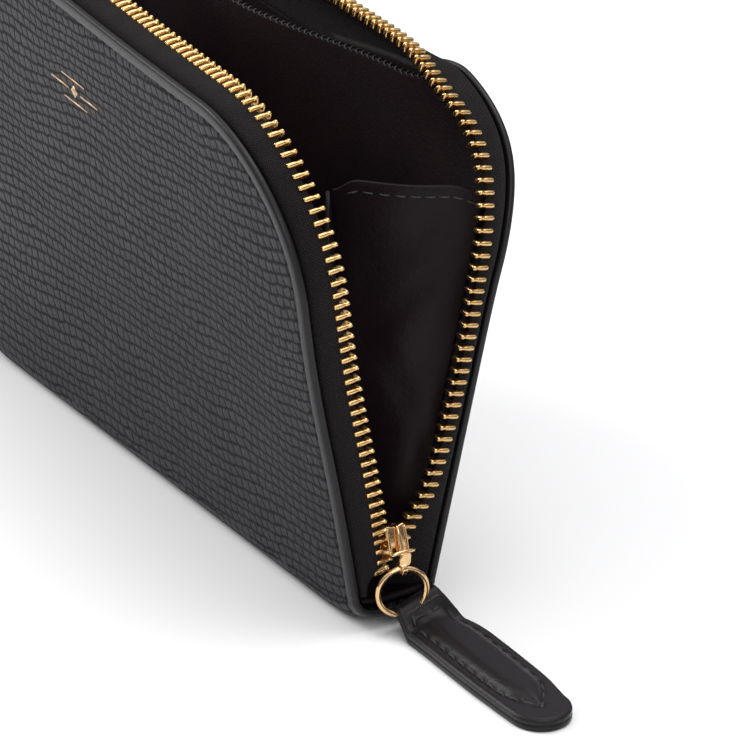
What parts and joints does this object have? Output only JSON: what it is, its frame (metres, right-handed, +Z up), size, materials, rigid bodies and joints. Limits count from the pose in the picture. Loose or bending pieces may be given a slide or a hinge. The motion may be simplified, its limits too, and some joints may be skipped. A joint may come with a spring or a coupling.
{
  "type": "coin purse",
  "caption": "Zip-around coin purse in grained leather, standing open in a V with folded end gussets, a metal chain on three sides and a stitched leather pull on a ring.",
  "frame": {"origin": "on the resting surface, under the middle of the base", "axes": "+X along the purse to its slider end, where the pull lies out flat; -Y to the front cover; +Z up"},
  "size_m": [0.1769, 0.0476, 0.0909],
  "materials": {
    "grain_leather": "pebble-grained calf, satin",
    "lining_leather": "smooth calf, soft sheen",
    "tab_leather": "smooth calf with painted edge",
    "board": "pressed fibre board, hidden",
    "filler_felt": "felt, hidden",
    "zip_tape": "woven tape",
    "zip_metal": "polished pale gold",
    "gilt_metal": "polished pale gold",
    "thread": "waxed thread"
  },
  "bodies": {
    "base": {"base_leather": "grain_leather", "base_board": "board", "base_lining": "lining_leather", "right_gusset": "lining_leather", "left_gusset": "lining_leather"},
    "front_half": {"front_cover": "grain_leather", "front_board": "board", "front_lining": "lining_leather", "front_zip_tape": "zip_tape", "front_zip_teeth": "zip_metal", "zip_bottom_stop": "zip_metal", "front_top_stop": "zip_metal", "front_edge_thread": "thread"},
    "back_half": {"back_cover": "grain_leather", "back_board": "board", "back_lining": "lining_leather", "back_pocket": "lining_leather", "pocket_thread": "thread", "back_zip_tape": "zip_tape", "back_zip_teeth": "zip_metal", "back_top_stop": "zip_metal", "back_edge_thread": "thread"},
    "slider": {"slider_body": "gilt_metal"},
    "pull_link": {"pull_link": "gilt_metal"},
    "pull_ring": {"pull_ring": "gilt_metal"},
    "pull_tab": {"pull_tab_loop": "tab_leather", "pull_tab_top": "tab_leather", "pull_tab_bottom": "tab_leather", "pull_tab_filler": "filler_felt", "pull_tab_thread": "thread"}
  },
  "joints": [
    {"name": "front_close", "type": "hinge", "parent": "base", "child": "front_half", "pos_m": [0, -0.006, 0.004], "axis": [-1, 0, 0], "range_deg": [0, 9.1], "deforming": ["right_gusset", "left_gusset", "front_zip_teeth", "back_zip_teeth"]},
    {"name": "back_close", "type": "hinge", "parent": "base", "child": "back_half", "pos_m": [0, 0.006, 0.004], "axis": [1, 0, 0], "range_deg": [0, 13]},
    {"name": "slider_travel", "type": "slide", "parent": "base", "child": "slider", "axis": [0, 0, 1], "range_m": [0, 0.046]},
    {"name": "link_lift", "type": "hinge", "parent": "slider", "child": "pull_link", "pos_m": [0.06865, 0, 0.0158], "axis": [0, -1, 0], "range_deg": [0, 60]},
    {"name": "ring_swing", "type": "hinge", "parent": "pull_link", "child": "pull_ring", "pos_m": [0.06928, 0, 0.01226], "axis": [-0.2419, -0.9703, 0], "range_deg": [-2, 25]},
    {"name": "tab_swing", "type": "hinge", "parent": "pull_ring", "child": "pull_tab", "pos_m": [0.06928, 0, 0.00385], "axis": [0.0209, -0.9998, 0], "range_deg": [-60, 0], "deforming": ["pull_tab_loop"]}
  ],
  "couplings": [
    {"joint": "back_close", "follows": "front_close", "ratio": 1.4286},
    {"joint": "slider_travel", "follows": "front_close", "m_per_rad": 0.28963}
  ]
}
